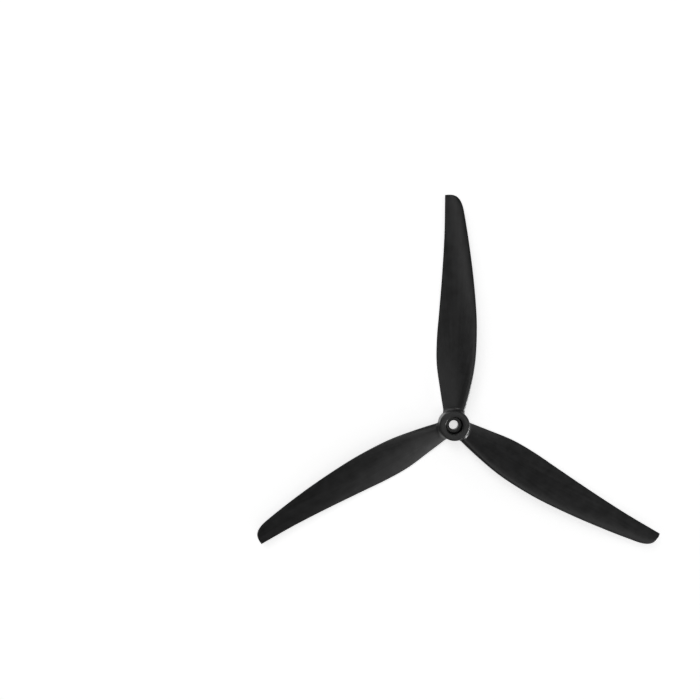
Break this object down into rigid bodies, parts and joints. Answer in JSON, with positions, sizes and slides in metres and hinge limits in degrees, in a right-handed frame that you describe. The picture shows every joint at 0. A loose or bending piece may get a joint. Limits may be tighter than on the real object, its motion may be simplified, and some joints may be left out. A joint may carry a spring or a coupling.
{
  "type": "propeller",
  "caption": "Moulded multirotor propeller: twisted, swept blades with a rounded leading tip corner on a round hub, with a shaft adapter ring in the hub's socket.",
  "frame": {"origin": "on the shaft's axis, halfway between the hub's back and front faces, which is about the centroid", "axes": "+Z along the shaft towards the front face, which the thrust pushes towards; +Y along the first blade; seen from +Z the propeller turns clockwise"},
  "size_m": [0.2223, 0.1937, 0.0095],
  "materials": {
    "glass_filled_nylon": "satin black moulding",
    "adapter_nylon": "satin black moulding"
  },
  "bodies": {
    "propeller": {"hub": "glass_filled_nylon", "blade_1": "glass_filled_nylon", "blade_2": "glass_filled_nylon", "blade_3": "glass_filled_nylon"},
    "adapter_ring": {"shaft_adapter_ring": "adapter_nylon"}
  },
  "joints": [
    {"name": "adapter_ring_pull_out", "type": "slide", "parent": "propeller", "child": "adapter_ring", "axis": [0, 0, 1], "range_m": [0, 0.009]}
  ]
}
